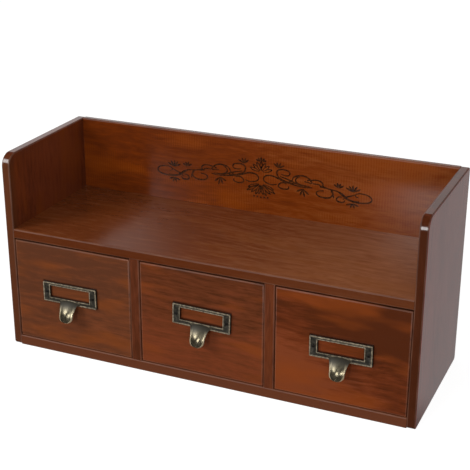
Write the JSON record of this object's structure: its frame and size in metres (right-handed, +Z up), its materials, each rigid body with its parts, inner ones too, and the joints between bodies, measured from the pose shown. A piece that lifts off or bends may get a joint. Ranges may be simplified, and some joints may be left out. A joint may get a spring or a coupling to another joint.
{
  "type": "tabletop drawer chest",
  "caption": "Low tabletop wooden chest: an open tray with raised sides and back over a row of small drawers, each with a brass label holder and finger pull.",
  "frame": {"origin": "middle of the carcass's underside, on the surface that it stands on", "axes": "+X to the right along the row of drawers, -Y out of the front where the drawers open, +Z up"},
  "size_m": [0.4, 0.1534, 0.192],
  "materials": {
    "carcass_wood": "satin lacquer over red-brown stain",
    "drawer_wood": "satin lacquer over red-brown stain",
    "drawer_box_wood": "stained, matt",
    "drawer_panel_wood": "stained thin board, matt",
    "antique_brass": "antiqued, rims worn bright",
    "screw_steel": "darkened",
    "steel_pins": "plain"
  },
  "bodies": {
    "carcass": {"left_side_panel": "carcass_wood", "right_side_panel": "carcass_wood", "back_panel": "carcass_wood", "shelf_board": "carcass_wood", "bottom_board": "carcass_wood", "left_divider": "carcass_wood", "right_divider": "carcass_wood", "left_side_pins": "steel_pins", "right_side_pins": "steel_pins", "shelf_pins": "steel_pins", "bottom_pins": "steel_pins", "back_pins": "steel_pins"},
    "left_drawer": {"left_drawer_front": "drawer_wood", "left_drawer_left_side": "drawer_box_wood", "left_drawer_right_side": "drawer_box_wood", "left_drawer_back": "drawer_box_wood", "left_drawer_bottom": "drawer_panel_wood", "left_drawer_pins": "steel_pins", "left_label_holder": "antique_brass", "left_holder_screws": "screw_steel"},
    "middle_drawer": {"middle_drawer_front": "drawer_wood", "middle_drawer_left_side": "drawer_box_wood", "middle_drawer_right_side": "drawer_box_wood", "middle_drawer_back": "drawer_box_wood", "middle_drawer_bottom": "drawer_panel_wood", "middle_drawer_pins": "steel_pins", "middle_label_holder": "antique_brass", "middle_holder_screws": "screw_steel"},
    "right_drawer": {"right_drawer_front": "drawer_wood", "right_drawer_left_side": "drawer_box_wood", "right_drawer_right_side": "drawer_box_wood", "right_drawer_back": "drawer_box_wood", "right_drawer_bottom": "drawer_panel_wood", "right_drawer_pins": "steel_pins", "right_label_holder": "antique_brass", "right_holder_screws": "screw_steel"}
  },
  "joints": [
    {"name": "left_drawer_slide", "type": "slide", "parent": "carcass", "child": "left_drawer", "axis": [0, -1, 0], "range_m": [0, 0.11]},
    {"name": "middle_drawer_slide", "type": "slide", "parent": "carcass", "child": "middle_drawer", "axis": [0, -1, 0], "range_m": [0, 0.11]},
    {"name": "right_drawer_slide", "type": "slide", "parent": "carcass", "child": "right_drawer", "axis": [0, -1, 0], "range_m": [0, 0.11]}
  ]
}
